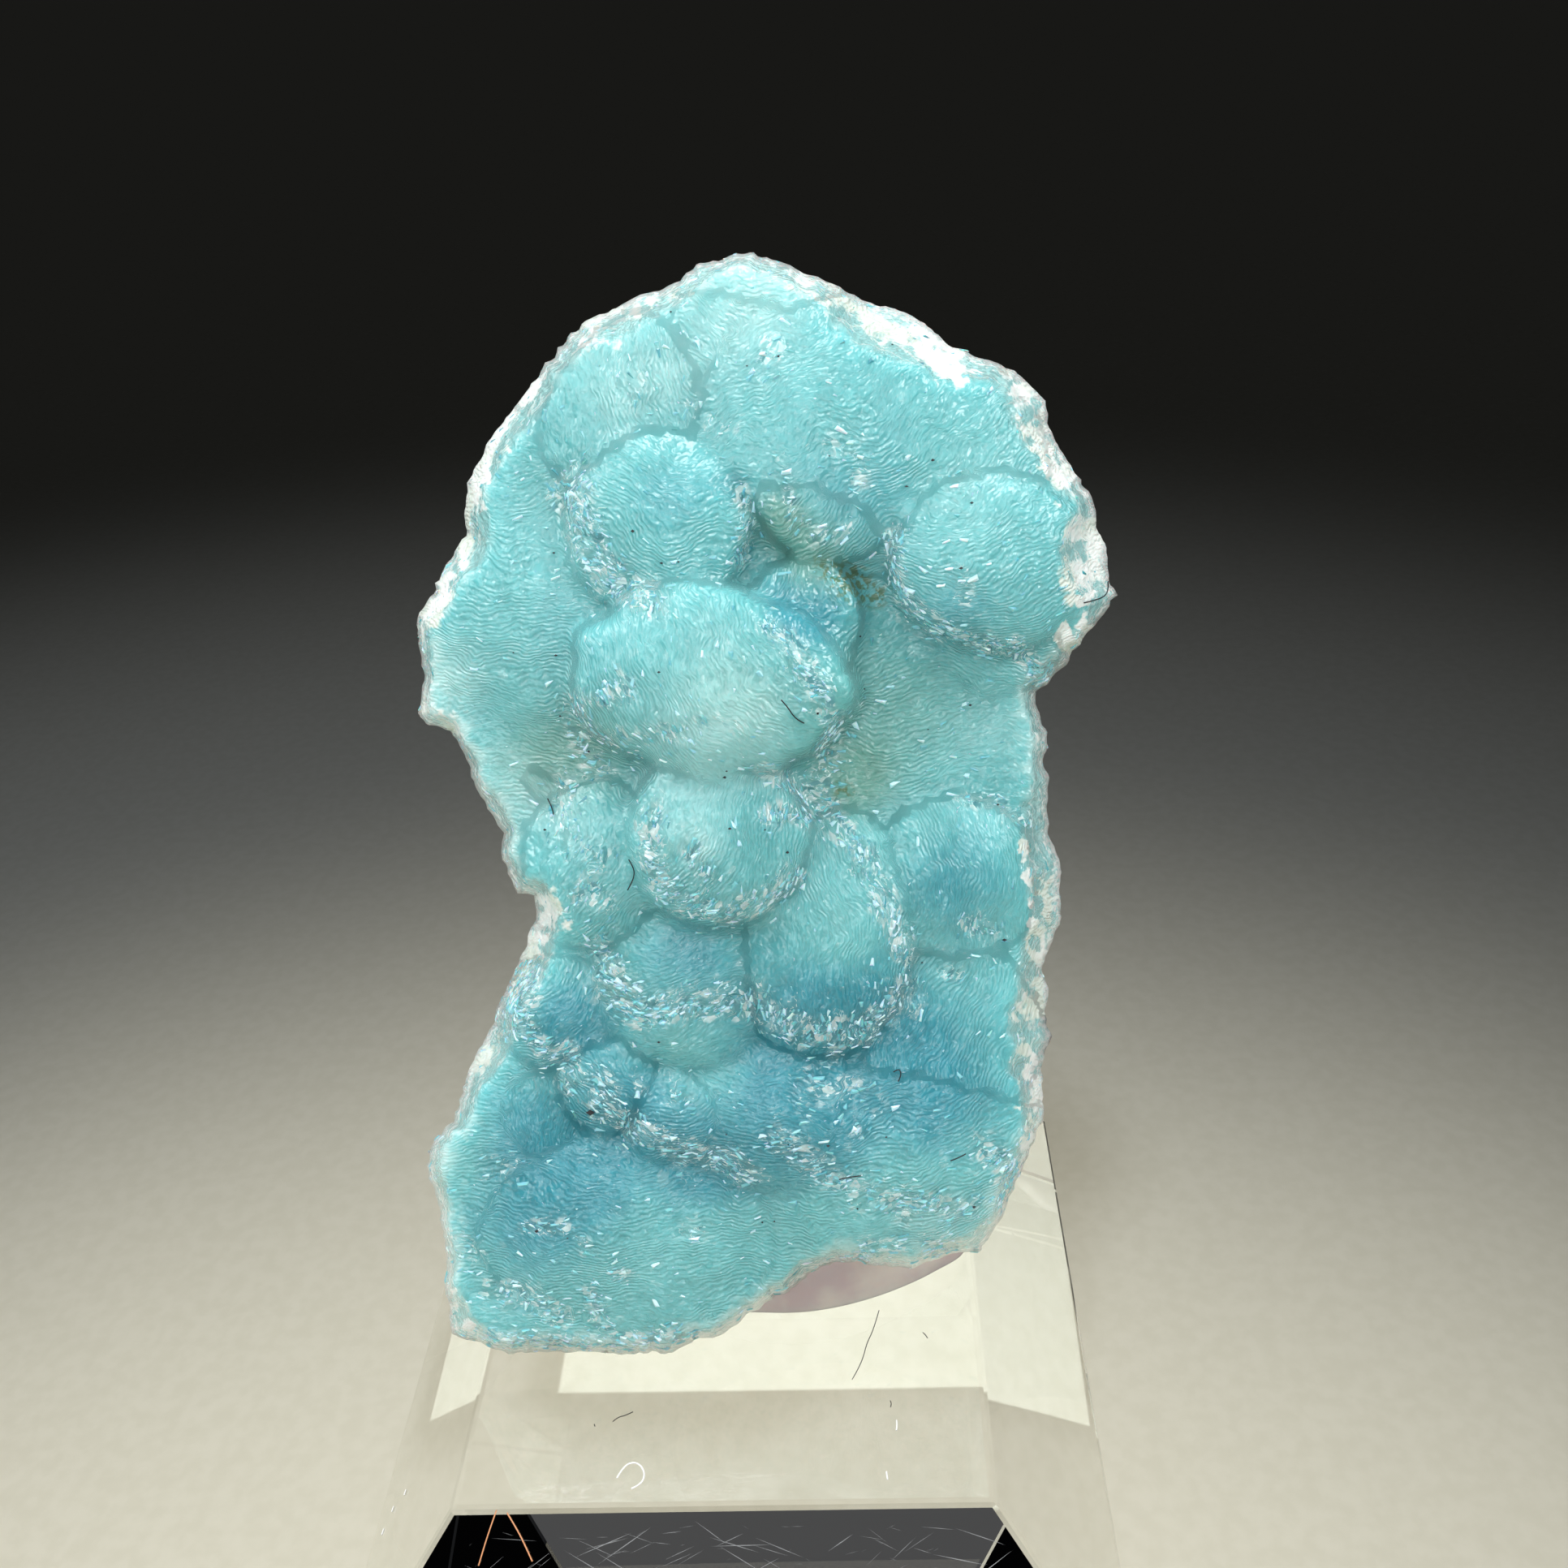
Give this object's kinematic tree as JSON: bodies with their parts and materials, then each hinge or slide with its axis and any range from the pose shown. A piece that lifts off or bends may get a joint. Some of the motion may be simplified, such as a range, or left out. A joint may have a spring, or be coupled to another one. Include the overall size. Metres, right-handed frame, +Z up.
{
  "type": "mineral specimen of hemimorphite on a clear block",
  "caption": "Lumpy blue hemimorphite plate held upright by tack on a bevelled clear block with a flat underside.",
  "frame": {"origin": "centre of the clear block's flat underside", "axes": "+Z up, -Y towards the viewer of the stone's crust, +X to the viewer's right"},
  "size_m": [0.0397, 0.0398, 0.0691],
  "materials": {
    "hemimorphite": "translucent botryoidal crust with fine glittering crystals, white matrix at its broken edge",
    "tack": "smooth translucent grey-pink tack",
    "clear_block": "clear polished acrylic with light scratches"
  },
  "bodies": {
    "root": {"hemimorphite": "hemimorphite", "putty": "tack", "stand": "clear_block"}
  },
  "joints": []
}
